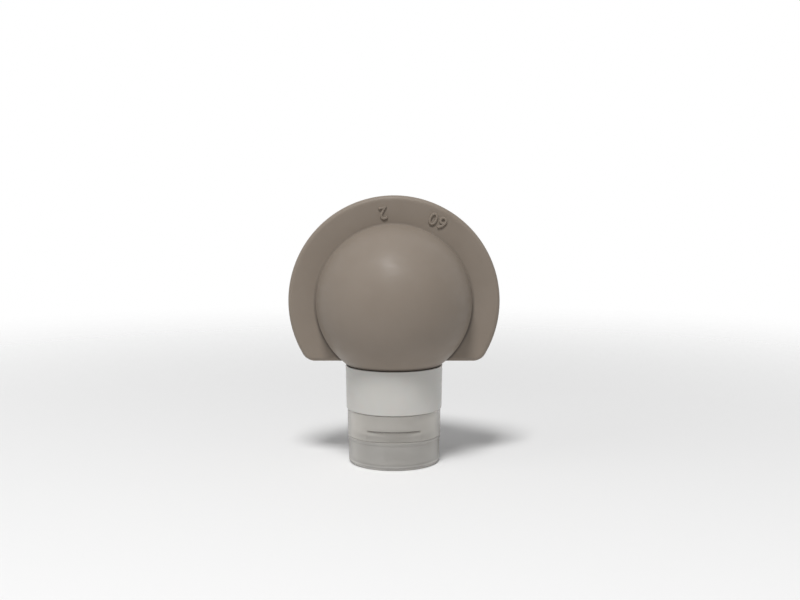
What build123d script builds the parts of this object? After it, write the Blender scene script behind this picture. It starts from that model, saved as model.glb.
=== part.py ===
from build123d import *
import math
import os

# A soft ball-shaped travel bottle with a flat D-shaped brim, a hard collar and a
# clear screw cap with a flip lid. Millimetres, +Z up. The bottle stands on the flat
# end of its closed lid, and the origin is under its axis. The lid's hinge is at +Y.

# Clearances and cutting
face_gap = 0.1
seat_gap = 0.15
plug_ring_gap = 0.3
overrun = 1.0

# Flip lid
lid_height = 9.3
lid_set_back = 0.05
lid_rim_proud = 0.2
lid_taper = 0.15
lid_wall = 1.25
lid_plate = 1.3
lid_rim_band = 0.9
lid_rim_step = 0.15
lid_end_round = 1.0
lid_inner_round = 0.8
lid_inner_draft = 0.2
lid_edge_round = 0.15

# Plug on the lid, which closes the spout
plug_entry = 2.0
plug_shoulder = 0.4
plug_mouth_gap = 0.15
plug_tip_gap = 0.6
plug_shoulder_gap = 0.2
plug_round = 0.3

# Cap shell
cap_height = 8.8
cap_wall = 1.65
thread_room = 0.95
cap_deck = 1.5
cap_edge_round = 0.2
cap_inner_round = 0.4
land_height = 0.9
land_width = 1.1
land_gap = 0.4

# Spout in the middle of the deck
spout_bore_radius = 3.0
spout_wall = 1.3
spout_flare = 0.7
spout_length = 4.5
spout_root_round = 0.5
spout_tip_round = 0.3
inlet_flare = 0.2
inlet_depth = 0.3

# Ring on the deck that plugs the bottle's mouth
plug_ring_wall = 0.9
plug_ring_height = 2.8
plug_ring_taper = 0.4

# Thumb recess at the front of the cap shell
recess_width = 18.0
recess_height = 3.6
recess_depth = 1.0

# Moulded strap hinge at the back
pad_width = 10.0
pad_height = 1.5
pad_proud = 0.1
pad_slope = 0.5
film_free = 0.9
strap_width = 9.0
strap_length = 3.3
strap_thickness = 0.3
strap_corner = 0.5
strap_gap = 0.05
fold_depth = 0.12
fold_width = 0.3

# Sealing washer in the cap
washer_thickness = 0.5
washer_side_gap = 0.9

# Silicone bottle
ball_radius = 26.0
ball_wall = 2.0
bore_radius = 9.8
neck_wall = 1.8
neck_blend = 1.2
bore_blend = 2.5
lip_thickness = 1.2
brim_radius = 35.2
brim_thickness = 3.2
brim_edge_flat = 0.2
brim_rise = 0.2
brim_flat_gap = 1.15
brim_corner = 2.0
brim_root_blend = 0.3

# Collar
collar_height = 14.45
collar_overhang = 0.35
collar_taper = 0.25
collar_rim_land = 0.5
collar_edge_round = 0.25
collar_skirt_wall = 1.35
collar_web = 1.5
collar_tube_wall = 1.25
collar_groove_round = 0.4

# Heights of the stack, from the lid's end upwards
cap_bottom = lid_height + face_gap
deck_top = cap_bottom + cap_deck
cap_top = cap_bottom + cap_height
collar_bottom = cap_top + face_gap
collar_top = collar_bottom + collar_height
washer_bottom = deck_top + face_gap
mouth_z = washer_bottom + washer_thickness + face_gap
lip_top = mouth_z + lip_thickness
tube_end = lip_top + face_gap
spout_tip = cap_bottom - spout_length

# Radii that follow from what fits in what, from the neck's bore outwards
neck_radius = bore_radius + neck_wall
tube_bore_radius = neck_radius + seat_gap
tube_radius = tube_bore_radius + collar_tube_wall
skirt_bore_radius = tube_radius + thread_room
cap_radius = skirt_bore_radius + cap_wall
collar_foot_radius = cap_radius + collar_overhang
collar_rim_radius = collar_foot_radius + collar_taper
plug_ring_radius = bore_radius - plug_ring_gap
washer_bore_radius = plug_ring_radius + seat_gap
washer_radius = skirt_bore_radius - washer_side_gap
lid_rim_radius = cap_radius - lid_set_back
lid_body_radius = lid_rim_radius - lid_rim_proud
lid_end_radius = lid_body_radius - lid_taper
lid_bore_radius = lid_body_radius - lid_wall
land_radius = lid_bore_radius - land_gap
spout_tip_radius = spout_bore_radius + spout_wall
spout_root_radius = spout_tip_radius + spout_flare
plug_root_radius = spout_bore_radius + plug_shoulder

# The ball rests in the collar's rim, which sets how high its centre is
seat_radius = ball_radius + seat_gap
rim_bore_radius = collar_rim_radius - collar_rim_land
ball_z = collar_top + math.sqrt(seat_radius**2 - rim_bore_radius**2)
brim_z = ball_z + brim_rise
brim_flat_z = collar_top + brim_flat_gap
brim_edge_round = (brim_thickness - brim_edge_flat) / 2

# The hinge folds about a line just outside the strap, level with the parting
pad_face_y = cap_radius + pad_proud
strap_inner_y = pad_face_y + strap_gap
hinge_z = lid_height + face_gap / 2


def rounded_outline(corners):
    """Closed outline through (radius, height, rounding) corners, read in order."""
    joins = []
    for i, (r, z, rounding) in enumerate(corners):
        here = Vector(r, z)
        back = (Vector(*corners[i - 1][:2]) - here).normalized()
        ahead = (Vector(*corners[(i + 1) % len(corners)][:2]) - here).normalized()
        if not rounding:
            joins.append((here, None, here))
            continue
        half_angle = math.radians(back.get_angle(ahead)) / 2
        reach = rounding / math.tan(half_angle)
        inward = (back + ahead).normalized()
        centre = here + inward * (rounding / math.sin(half_angle))
        middle = centre - inward * rounding
        joins.append((here + back * reach, middle, here + ahead * reach))
    pieces = []
    for i, (start, middle, end) in enumerate(joins):
        if middle:
            pieces.append(ThreePointArc(start, middle, end))
        pieces.append(Line(end, joins[(i + 1) % len(joins)][0]))
    return make_face(pieces)


def turned(corners):
    """Solid of revolution about Z from (radius, height, rounding) corners."""
    return revolve(Plane.XZ * rounded_outline(corners), Axis.Z)


def arc_about(centre, start, end):
    """The shorter arc from start to end about centre."""
    spread = (start - centre) + (end - centre)
    middle = centre + spread.normalized() * (start - centre).length
    return ThreePointArc(start, middle, end)


def bulb(sphere_radius, tube_radius_here, blend_radius, end_z):
    """Ball on a straight tube, with a blend where they meet. It ends at end_z."""
    ball_centre = Vector(0, ball_z)
    across = tube_radius_here + blend_radius
    drop = math.sqrt((sphere_radius + blend_radius) ** 2 - across**2)
    blend_centre = Vector(across, ball_z - drop)
    on_tube = Vector(tube_radius_here, ball_z - drop)
    toward = (blend_centre - ball_centre).normalized()
    on_ball = ball_centre + toward * sphere_radius
    top = Vector(0, ball_z + sphere_radius)
    foot = Vector(0, end_z)
    foot_edge = Vector(tube_radius_here, end_z)
    outline = [
        Line(foot, foot_edge),
        Line(foot_edge, on_tube),
        arc_about(blend_centre, on_tube, on_ball),
        arc_about(ball_centre, on_ball, top),
        Line(top, foot),
    ]
    return revolve(Plane.XZ * make_face(outline), Axis.Z)


def brim_plate():
    """Flat D-shaped plate round the ball, with every edge rounded."""
    below = Pos(0, brim_flat_z - brim_z - brim_radius / 2)
    outline = Circle(brim_radius) - below * Rectangle(2 * brim_radius, brim_radius)
    outline = fillet(outline.vertices(), brim_corner)
    plate = extrude(
        Plane.XZ * Pos(0, brim_z) * outline, amount=brim_thickness / 2, both=True
    )
    rims = plate.edges().group_by(Axis.Y)
    return fillet(rims[0] + rims[-1], brim_edge_round)


def brim_root():
    """Hollow blend between the ball and both faces of the brim."""
    half = brim_thickness / 2
    reach = ball_radius + brim_root_blend
    centre_y = half + brim_root_blend
    out = math.sqrt(reach**2 - centre_y**2)
    inside = ball_radius - ball_wall / 2
    sides = []
    for side in (1, -1):
        centre = Vector(out, side * centre_y)
        on_brim = Vector(out, side * half)
        on_ball = centre * (ball_radius / reach)
        sides.append((centre, on_brim, on_ball, Vector(inside, on_ball.Y)))
    (centre_a, brim_a, ball_a, in_a), (centre_b, brim_b, ball_b, in_b) = sides
    outline = [
        arc_about(centre_a, brim_a, ball_a),
        Line(ball_a, in_a),
        Line(in_a, in_b),
        Line(in_b, ball_b),
        arc_about(centre_b, ball_b, brim_b),
        Line(brim_b, brim_a),
    ]
    ball_level = Plane(origin=(0, 0, ball_z))
    ring = revolve(ball_level * make_face(outline), Axis((0, 0, ball_z), (0, 1, 0)))
    keep_from = brim_flat_z + brim_edge_round
    keep = Pos(0, 0, keep_from) * Box(
        2 * brim_radius,
        2 * brim_radius,
        2 * brim_radius,
        align=(Align.CENTER, Align.CENTER, Align.MIN),
    )
    return ring & keep


def silicone_bottle():
    """Ball, neck, mouth lip and brim in one moulding, hollowed with its bore."""
    outside = bulb(ball_radius, neck_radius, neck_blend, mouth_z)
    lip = turned(
        [
            (0, mouth_z, 0),
            (tube_radius, mouth_z, collar_edge_round),
            (tube_radius, lip_top, collar_edge_round),
            (0, lip_top, 0),
        ]
    )
    inside = bulb(ball_radius - ball_wall, bore_radius, bore_blend, mouth_z - overrun)
    return outside + lip + brim_plate() + brim_root() - inside


def hard_collar():
    """Collar with its skirt and the hard tube that holds the silicone neck."""
    groove_bore = collar_foot_radius - collar_skirt_wall
    seat_at_tube = ball_z - math.sqrt(seat_radius**2 - tube_radius**2)
    groove_top = seat_at_tube - collar_web
    body = turned(
        [
            (0, tube_end, 0),
            (tube_radius, tube_end, collar_edge_round),
            (tube_radius, groove_top, collar_groove_round),
            (groove_bore, groove_top, collar_groove_round),
            (groove_bore, collar_bottom, 0),
            (collar_foot_radius, collar_bottom, collar_edge_round),
            (collar_rim_radius, collar_top, collar_edge_round),
            (0, collar_top, 0),
        ]
    )
    room = bulb(
        seat_radius, tube_bore_radius, neck_blend - seat_gap, tube_end - overrun
    )
    return body - room


def seal_washer():
    """Flat ring between the cap's deck and the bottle's lip."""
    top = washer_bottom + washer_thickness
    return turned(
        [
            (washer_bore_radius, washer_bottom, 0),
            (washer_radius, washer_bottom, 0),
            (washer_radius, top, 0),
            (washer_bore_radius, top, 0),
        ]
    )


def hinge_pad(inner_radius, start_z, height):
    """Pad whose flat outer face carries the strap. Height is signed, from start_z."""
    slope = math.copysign(pad_slope, height)
    end_z = start_z + height
    outline = make_face(
        Polyline(
            (0, start_z),
            (pad_face_y, start_z),
            (pad_face_y, end_z - slope),
            (pad_face_y - pad_slope, end_z),
            (0, end_z),
            close=True,
        )
    )
    block = extrude(Plane.YZ * outline, amount=pad_width / 2, both=True)
    core = Pos(0, 0, start_z) * Cylinder(inner_radius, 2 * (pad_height + overrun))
    return block - core


def thumb_recess():
    """Scoop at the front, open to the parting and deepest in the middle. Its floor is
    rounder than the cap's wall and meets it at both ends, under a flat ledge."""
    half_width = recess_width / 2
    wall_bow = cap_radius - math.sqrt(cap_radius**2 - half_width**2)
    floor_bow = wall_bow - recess_depth
    floor_radius = (half_width**2 + floor_bow**2) / (2 * floor_bow)
    floor_centre = floor_radius - (cap_radius - recess_depth)
    beyond = Cylinder(cap_radius + overrun, 2 * recess_height)
    kept = Pos(0, floor_centre) * Cylinder(floor_radius, 2 * recess_height)
    return Pos(0, 0, cap_bottom) * (beyond - kept)


def cap_shell():
    """Cap with its screw skirt, deck, plug ring, spout, lid land and recess."""
    ring_top = deck_top + plug_ring_height
    ring_bore = plug_ring_radius - plug_ring_wall
    body = turned(
        [
            (cap_radius, cap_top, cap_edge_round),
            (skirt_bore_radius, cap_top, cap_edge_round),
            (skirt_bore_radius, deck_top, cap_inner_round),
            (plug_ring_radius, deck_top, 0),
            (plug_ring_radius, ring_top - plug_ring_taper, 0),
            (plug_ring_radius - plug_ring_taper, ring_top, 0),
            (ring_bore, ring_top, 0),
            (ring_bore, deck_top, 0),
            (spout_bore_radius + inlet_flare, deck_top, 0),
            (spout_bore_radius, deck_top - inlet_depth, 0),
            (spout_bore_radius, spout_tip, 0),
            (spout_tip_radius, spout_tip, spout_tip_round),
            (spout_root_radius, cap_bottom, spout_root_round),
            (land_radius - land_width, cap_bottom, 0),
            (land_radius - land_width, cap_bottom - land_height, 0),
            (land_radius, cap_bottom - land_height, cap_edge_round),
            (land_radius, cap_bottom, 0),
            (cap_radius, cap_bottom, 0),
        ]
    )
    mid_wall = cap_radius - cap_wall / 2
    pad = hinge_pad(mid_wall, hinge_z + film_free / 2, pad_height)
    return body - thumb_recess() + pad


def flip_lid():
    """Lid that closes over the spout, with its plug and its half of the hinge."""
    shoulder = spout_tip - plug_shoulder_gap
    tip = spout_tip + plug_entry
    band = lid_height - lid_rim_band
    body = turned(
        [
            (0, 0, 0),
            (lid_end_radius, 0, lid_end_round),
            (lid_body_radius, band - lid_rim_step, 0),
            (lid_rim_radius, band, 0),
            (lid_rim_radius, lid_height, lid_edge_round),
            (lid_bore_radius, lid_height, lid_edge_round),
            (lid_bore_radius - lid_inner_draft, lid_plate, lid_inner_round),
            (plug_root_radius, lid_plate, lid_inner_round),
            (plug_root_radius, shoulder, 0),
            (spout_bore_radius - plug_mouth_gap, shoulder, 0),
            (spout_bore_radius - plug_mouth_gap, spout_tip, 0),
            (spout_bore_radius - plug_tip_gap, tip, plug_round),
            (0, tip, 0),
        ]
    )
    mid_wall = lid_body_radius - lid_wall / 2
    pad = hinge_pad(mid_wall, hinge_z - film_free / 2, -pad_height)
    return body + pad


def hinge_strap():
    """Thin strap across the parting, with a fold line on its inner face."""
    outline = Plane.XZ * Pos(0, hinge_z) * RectangleRounded(
        strap_width, strap_length, strap_corner
    )
    strap = Pos(0, strap_inner_y + strap_thickness, 0) * extrude(
        outline, amount=strap_thickness
    )
    groove = make_face(
        Polyline(
            (strap_inner_y, hinge_z - fold_width),
            (strap_inner_y, hinge_z + fold_width),
            (strap_inner_y + fold_depth, hinge_z),
            close=True,
        )
    )
    return strap - extrude(Plane.YZ * groove, amount=strap_width, both=True)


pieces = {
    "silicone_bottle": silicone_bottle(),
    "collar": hard_collar(),
    "seal_washer": seal_washer(),
    "cap_shell": cap_shell(),
    "hinge_strap": hinge_strap(),
    "flip_lid": flip_lid(),
}

os.makedirs("parts", exist_ok=True)
for name, piece in pieces.items():
    export_step(piece, f"parts/{name}.step")
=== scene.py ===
# %% [markdown]
# # A soft travel bottle with a clear flip-top cap
#
# The bottle is one silicone moulding: a ball that is squeezed, a flat brim round it
# that stops it rolling, and a short neck. A hard white collar holds the neck and
# carries a thread, and a clear screw cap with a hinged lid closes it. The bottle
# stands on its lid. The imported solids give every body, place and joint, and this
# script dresses them: each piece here but the hinge strap rides on the body of the solid
# it stands for.

# %% Load the imported model
import math

import bmesh
import bpy
import numpy as np
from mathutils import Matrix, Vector


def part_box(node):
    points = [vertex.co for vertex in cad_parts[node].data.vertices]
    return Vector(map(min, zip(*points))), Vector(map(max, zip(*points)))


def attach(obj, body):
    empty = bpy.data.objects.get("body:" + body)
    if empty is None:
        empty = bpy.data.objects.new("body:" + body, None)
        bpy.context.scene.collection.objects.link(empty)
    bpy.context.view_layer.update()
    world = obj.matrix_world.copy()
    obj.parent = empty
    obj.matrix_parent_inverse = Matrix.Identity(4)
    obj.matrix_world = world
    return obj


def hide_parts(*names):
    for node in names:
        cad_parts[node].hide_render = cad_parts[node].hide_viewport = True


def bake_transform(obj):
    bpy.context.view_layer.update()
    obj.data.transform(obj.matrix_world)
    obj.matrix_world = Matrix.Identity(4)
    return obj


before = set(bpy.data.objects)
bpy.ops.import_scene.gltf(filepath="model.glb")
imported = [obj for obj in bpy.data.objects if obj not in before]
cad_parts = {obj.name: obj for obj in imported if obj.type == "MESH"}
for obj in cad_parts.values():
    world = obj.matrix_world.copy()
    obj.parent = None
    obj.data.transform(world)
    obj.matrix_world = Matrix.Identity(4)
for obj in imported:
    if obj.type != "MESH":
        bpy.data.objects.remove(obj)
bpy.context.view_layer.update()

# %% [markdown]
# ## The sizes
#
# A moulded product is drawn from a few sizes, and the looks have to use the same ones
# as the solids. They are in millimetres and are turned into metres when a mesh is
# made. Heights are from the surface that the bottle stands on.

# %% Sizes shared with the solids
MM = 0.001
FACE_GAP, SEAT_GAP = 0.1, 0.15
LID_HEIGHT, CAP_HEIGHT, COLLAR_HEIGHT = 9.3, 8.8, 14.45
HINGE_Z = LID_HEIGHT + FACE_GAP / 2
CAP_BOTTOM = LID_HEIGHT + FACE_GAP
DECK_TOP = CAP_BOTTOM + 1.5
CAP_TOP = CAP_BOTTOM + CAP_HEIGHT
SPOUT_TIP = CAP_BOTTOM - 4.5
WASHER_BOTTOM = DECK_TOP + FACE_GAP
WASHER_TOP = WASHER_BOTTOM + 0.5
MOUTH_Z = WASHER_TOP + FACE_GAP
LIP_TOP = MOUTH_Z + 1.2
TUBE_END = LIP_TOP + FACE_GAP
COLLAR_BOTTOM = CAP_TOP + FACE_GAP
COLLAR_TOP = COLLAR_BOTTOM + COLLAR_HEIGHT

BORE_RADIUS, NECK_RADIUS, TUBE_RADIUS = 9.8, 11.6, 13.0
SKIRT_BORE, CAP_RADIUS, PAD_FACE_Y = 13.95, 15.6, 15.7
FOOT_RADIUS, RIM_RADIUS, RIM_LAND = 15.95, 16.2, 0.5
RECESS_WIDTH, RECESS_HEIGHT, RECESS_DEPTH = 18.0, 3.6, 1.0

BALL_RADIUS, BALL_WALL = 26.0, 2.0
SEAT_RADIUS = BALL_RADIUS + SEAT_GAP
BALL_Z = COLLAR_TOP + math.sqrt(SEAT_RADIUS**2 - (RIM_RADIUS - RIM_LAND) ** 2)
BRIM_RADIUS, BRIM_HALF, BRIM_CORNER, BRIM_EDGE, BRIM_ROOT = 35.2, 1.6, 2.0, 1.5, 0.3
BRIM_Z = BALL_Z + 0.2
BRIM_FLAT_Z = COLLAR_TOP + 1.15
ball_low, ball_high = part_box("silicone_bottle")
print("silicone from", round(ball_low.z / MM, 2), "to", round(ball_high.z / MM, 2), "mm")

# %% [markdown]
# ## Finishes
#
# Each finish is a small node tree read from object coordinates, so the grain has a real
# size on every piece and nothing has to be unwrapped, as a picture would ask. Silicone
# from a mould is satin, with a grain too fine to see as anything but softness, a little
# light bleeding through thin parts, and faint dust, which it always picks up.
# Polypropylene is harder and smoother, and shows only slow changes of gloss and a few
# hairline scuffs.

# %% Helpers that make and join nodes
def put(tree, socket, value):
    """A plain value on a socket, or a link into it from another node's output."""
    if isinstance(value, bpy.types.NodeSocket):
        tree.links.new(value, socket)
    else:
        socket.default_value = value


def feed(tree, node, **sockets):
    """Values or links for a node's sockets, named with _ for each space."""
    for name, value in sockets.items():
        put(tree, node.inputs[name.replace("_", " ")], value)


def add(tree, kind, **settings):
    """A node with its properties set. A setting that names a socket feeds that socket."""
    made = tree.nodes.new(kind)
    for key, value in settings.items():
        if hasattr(made, key):
            setattr(made, key, value)
        else:
            feed(tree, made, **{key: value})
    return made


def finish(name, **sockets):
    """A new material, its node tree and its main shader, with plain values set."""
    made = bpy.data.materials.new(name)
    made.use_nodes = True
    shader = made.node_tree.nodes["Principled BSDF"]
    feed(made.node_tree, shader, **sockets)
    return made, made.node_tree, shader


print("node helpers are ready")

# %% Helpers that compute masks
def axes(tree):
    """X, Y and Z of the place on a piece, in metres."""
    place = add(tree, "ShaderNodeTexCoord").outputs["Object"]
    return tuple(add(tree, "ShaderNodeSeparateXYZ", Vector=place).outputs)


def compute(tree, operation, first, second=0.0):
    """One step of arithmetic on values or numbers."""
    made = add(tree, "ShaderNodeMath", operation=operation)
    for socket, value in zip(made.inputs, (first, second)):
        put(tree, socket, value)
    return made.outputs[0]


def product(tree, *values):
    """Values multiplied together."""
    made = values[0]
    for value in values[1:]:
        made = compute(tree, "MULTIPLY", made, value)
    return made


def distance(tree, first, second):
    """How far off two distances at a right angle lead."""
    squares = [compute(tree, "MULTIPLY", side, side) for side in (first, second)]
    return compute(tree, "SQRT", compute(tree, "ADD", *squares))


def remap(tree, value, from_low, from_high, to_low=0.0, to_high=1.0):
    """A value moved smoothly from one range to another, held at both ends."""
    made = add(tree, "ShaderNodeMapRange", interpolation_type="SMOOTHSTEP")
    for socket, given in zip(made.inputs, (value, from_low, from_high, to_low, to_high)):
        put(tree, socket, given)
    return made.outputs[0]


def band(tree, place, rise, fall, most=1.0):
    """A mask that comes in over one range of millimetres and goes over a later one."""
    coming = remap(tree, place, rise[0] * MM, rise[1] * MM)
    going = remap(tree, place, fall[0] * MM, fall[1] * MM, most, 0.0)
    return compute(tree, "MULTIPLY", coming, going)


print("mask helpers are ready")

# %% Helpers for patterns, colours and relief
def noise(tree, scale, detail=2.0, stretch=(1, 1, 1)):
    """Noise at so many features a metre, stretched along the axes, from 0 to 1."""
    place = add(tree, "ShaderNodeTexCoord").outputs["Object"]
    mapping = add(tree, "ShaderNodeMapping", Vector=place, Scale=stretch)
    grain = add(tree, "ShaderNodeTexNoise", Vector=mapping.outputs["Vector"])
    feed(tree, grain, Scale=scale, Detail=detail)
    return grain.outputs["Fac"]


def tint(tree, share, plain, marked):
    """A colour that goes from plain to marked with share. Either may be a link."""
    made = add(tree, "ShaderNodeMix", data_type="RGBA")
    put(tree, made.inputs[0], share)
    for number, colour in ((6, plain), (7, marked)):  # the node's two colour sockets
        colour = (*colour, 1) if isinstance(colour, tuple) else colour
        put(tree, made.inputs[number], colour)
    return made.outputs[2]


def relief(tree, shader, height, depth, strength):
    """Bump on a shader, with its depth in millimetres."""
    bump = add(tree, "ShaderNodeBump", Strength=strength, Distance=depth * MM)
    feed(tree, bump, Height=height)
    feed(tree, shader, Normal=bump.outputs["Normal"])


print("pattern helpers are ready")

# %% [markdown]
# ### Silicone
#
# The colour is a warm grey-brown. Two nearly equal tones drift over it, as on a batch
# of pigmented silicone, and specks of pale dust sit on it. Painted shade darkens the
# corner where the ball meets the brim, most of all below, and the line where it sits in
# the collar. It could be painted on as an image, but masks worked out from the bottle's
# own sizes stay in the corner whatever the mesh is. The two mould halves met in the
# plane of the brim, so a hairline runs round the brim's edge.

# %% The silicone's tone and gloss
WARM_GREY, DEEPER_GREY = (0.262, 0.220, 0.181), (0.248, 0.207, 0.169)
# The second colour on the next line is painted shade for the corner round the ball and the
# collar's seat.
DUST_COLOUR, CORNER_SHADE_COLOUR = (0.55, 0.53, 0.5), (0.085, 0.07, 0.058)
silicone, tree, shader = finish(
    "silicone",
    IOR=1.41,
    Specular_IOR_Level=0.35,
    Subsurface_Weight=0.12,
    Subsurface_Scale=0.002,
    Subsurface_Radius=(1.0, 0.75, 0.6),
)
drift = remap(tree, noise(tree, 60, 3), 0.35, 0.65)
specks = remap(tree, noise(tree, 2600, 1), 0.79, 0.83, 0.0, 0.35)
dusty = tint(tree, specks, tint(tree, drift, WARM_GREY, DEEPER_GREY), DUST_COLOUR)
smear = noise(tree, 140, 4, (1, 1, 2.2))
feed(tree, shader, Roughness=remap(tree, smear, 0.3, 0.7, 0.42, 0.54))
print("silicone tones:", WARM_GREY, DEEPER_GREY)

# %% Painted shade in the corner and at the collar
CREASE_SHADE_LOW, CREASE_SHADE_HIGH, SEAT_SHADE = 0.75, 0.2, 0.7
DARKEST_AT, LIGHTEST_AT = -12, 14
x, y, z = axes(tree)
off_parting = compute(tree, "ABSOLUTE", y)
up = compute(tree, "SUBTRACT", z, BALL_Z * MM)
crease = band(
    tree,
    distance(tree, x, up),
    (BALL_RADIUS - 0.5, BALL_RADIUS),
    (BALL_RADIUS + 0.2, BALL_RADIUS + 1.0),
)
corner = remap(tree, off_parting, (BRIM_HALF + 0.4) * MM, (BRIM_HALF + 1.4) * MM, 1.0, 0.0)
heights = (DARKEST_AT * MM, LIGHTEST_AT * MM)
lower = remap(tree, up, *heights, CREASE_SHADE_LOW, CREASE_SHADE_HIGH)
seat_shade = band(
    tree,
    z,
    (COLLAR_TOP - 0.5, COLLAR_TOP),
    (COLLAR_TOP + 0.6, COLLAR_TOP + 1.2),
    SEAT_SHADE,
)
# Painted shade: the corner round the ball, darker below, and a line where the ball sits in
# the collar.
painted_shade = compute(tree, "MAXIMUM", product(tree, crease, corner, lower), seat_shade)
feed(tree, shader, Base_Color=tint(tree, painted_shade, dusty, CORNER_SHADE_COLOUR))
print("dirt follows a ring of radius", BALL_RADIUS, "mm round the ball")

# %% The parting line and the grain
HAIRLINE_CORE, HAIRLINE_EDGE = 0.03, 0.12
hairline = remap(tree, off_parting, HAIRLINE_CORE * MM, HAIRLINE_EDGE * MM, 1.0, 0.0)
grain = compute(tree, "MULTIPLY", noise(tree, 3800, 2), 0.35)
relief(tree, shader, compute(tree, "ADD", grain, hairline), depth=0.05, strength=0.7)
print("silicone has", len(tree.nodes), "nodes")

# %% [markdown]
# ### White collar
#
# The collar is white polypropylene. Two close tones drift over it, because an even
# white looks like paint, and scuffs that run round it, as hands make them, change only
# its gloss.

# %% The collar's finish
POLYPROPYLENE_IOR = 1.49
collar_white, tree, shader = finish(
    "collar_plastic", IOR=POLYPROPYLENE_IOR, Subsurface_Weight=0.08, Subsurface_Scale=0.001
)
mottle = remap(tree, noise(tree, 90, 2), 0.35, 0.65)
collar_tone = tint(tree, mottle, (0.580, 0.568, 0.538), (0.560, 0.548, 0.518))
scuff = noise(tree, 500, 4, (0.25, 0.25, 3.0))
collar_gloss = remap(tree, scuff, 0.4, 0.75, 0.3, 0.46)
feed(tree, shader, Base_Color=collar_tone, Roughness=collar_gloss)
relief(tree, shader, noise(tree, 240, 2), depth=0.02, strength=0.6)
print("collar finish has", len(tree.nodes), "nodes")

# %% [markdown]
# ### Clear cap and lid
#
# The cap and lid are the same plastic with no pigment, which is never quite clear: it
# scatters a little, so it looks milky where it is thick and lets through only a soft
# picture of the thread. Refraction could show that too, but it takes many bounces of
# light, so the surface is simply part see-through, and less so edge-on. The lid stands
# in front of a hollow and not of the white tube, so its tone is painted a shade darker
# than the skirt's: painted shade. A painted highlight runs where its wall turns into its
# end. The outline of the clear plastic is painted dark, a painted shade for light that
# runs along inside it there. Under the ledge of the thumb recess a line of painted shade
# follows the ledge, standing in for light caught in the thick corner.

# %% Tones of the skirt and the lid
# The first colour on the next line is a painted highlight, the second painted shade for the
# outline.
PAINTED_HIGHLIGHT, PAINTED_EDGE_SHADE = (0.92, 0.89, 0.85), (0.27, 0.255, 0.235)
clear, tree, shader = finish("clear_plastic", IOR=POLYPROPYLENE_IOR)
x, y, z = axes(tree)
haze = remap(tree, noise(tree, 70, 2), 0.3, 0.7)
skirt_tone = tint(tree, haze, (0.74, 0.71, 0.66), (0.70, 0.67, 0.62))
# The lid's tone is painted a shade darker than the skirt's, as painted shade for the hollow
# behind it.
shaded_lid_tone = tint(tree, haze, (0.60, 0.58, 0.545), (0.57, 0.55, 0.515))
in_cap = remap(tree, z, (CAP_BOTTOM - 0.1) * MM, CAP_BOTTOM * MM)
plain_tone = tint(tree, in_cap, shaded_lid_tone, skirt_tone)
# Painted highlight: a light line where the lid's wall turns into its end.
painted_highlight_band = band(tree, z, (0.9, 1.3), (1.3, 1.8), 0.7)
highlighted_tone = tint(tree, painted_highlight_band, plain_tone, PAINTED_HIGHLIGHT)
print("clear tones change at", round(CAP_BOTTOM, 2), "mm")

# %% Painted shade on the outline of the outer skin
INNER_FACE, OUTER_FACE = 14.1, 14.5
edge_on = add(tree, "ShaderNodeLayerWeight", Blend=0.5).outputs["Facing"]
outside = remap(tree, distance(tree, x, y), INNER_FACE * MM, OUTER_FACE * MM)
# Painted shade: the outer skin darkens edge-on, for light that runs along inside it.
outline = compute(tree, "MULTIPLY", remap(tree, edge_on, 0.45, 0.95, 0.0, 0.8), outside)
edge_shaded_tone = tint(tree, outline, highlighted_tone, PAINTED_EDGE_SHADE)
print("the outline darkens only beyond", INNER_FACE, "mm from the axis")

# %% Painted shade under the ledge, and how much shows through
# The first colour and the share on the next line are painted shade under the ledge.
LEDGE_SHADE_COLOUR, LEDGE_SHADE, BODY_FACING, BODY_EDGE_ON = (0.09, 0.08, 0.07), 0.75, 0.43, 0.85
LEDGE_Z, HALF_LEDGE = CAP_BOTTOM + RECESS_HEIGHT, RECESS_WIDTH / 2
FRONT_FROM, FRONT_TO = -12.4, -12.0
# Painted shade: a dark line under the thumb recess's ledge, which is also less see-through
# there.
under = band(tree, z, (LEDGE_Z - 0.9, LEDGE_Z - 0.2), (LEDGE_Z, LEDGE_Z + 0.1), LEDGE_SHADE)
sideways = compute(tree, "ABSOLUTE", x)
between = remap(tree, sideways, (HALF_LEDGE - 0.8) * MM, HALF_LEDGE * MM, 1.0, 0.0)
in_front = remap(tree, y, FRONT_FROM * MM, FRONT_TO * MM, 1.0, 0.0)
ledge = product(tree, under, between, in_front)
body = remap(tree, edge_on, 0.1, 0.9, BODY_FACING, BODY_EDGE_ON)
feed(
    tree,
    shader,
    Base_Color=tint(tree, ledge, edge_shaded_tone, LEDGE_SHADE_COLOUR),
    Roughness=remap(tree, noise(tree, 160, 3), 0.4, 0.7, 0.2, 0.27),
    Alpha=compute(tree, "MAXIMUM", body, ledge),
)
relief(tree, shader, noise(tree, 120, 2), depth=0.01, strength=0.3)
print("the ledge is at", round(LEDGE_Z, 2), "mm")

# %% [markdown]
# ### Washer
#
# The washer is a soft foamed ring, matt and slightly grainy. One fine noise gives both
# its specks and its relief, so that the two keep together as they do in foam.

# %% The washer's finish
washer_white, tree, shader = finish(
    "washer", Roughness=0.75, Subsurface_Weight=0.2, Subsurface_Scale=0.001
)
cells = noise(tree, 4200, 2)
speckle = remap(tree, cells, 0.4, 0.6)
feed(tree, shader, Base_Color=tint(tree, speckle, (0.76, 0.76, 0.74), (0.7, 0.7, 0.68)))
relief(tree, shader, cells, depth=0.06, strength=0.6)
print("finishes:", [m.name for m in (silicone, collar_white, clear, washer_white)])

# %% [markdown]
# ## Turned pieces
#
# The collar, washer, cap and lid are bodies of revolution, so each is drawn as half of
# its section and turned about the bottle's axis. Blender's Spin would do that too, but
# the cap and lid need more points at the back and front than at the sides. Every corner
# is rounded, if only by a tenth of a millimetre, because no mould makes a knife edge
# and the small round is what catches the light. A row of points close to each round
# keeps the flat faces flat in the shading.

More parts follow.
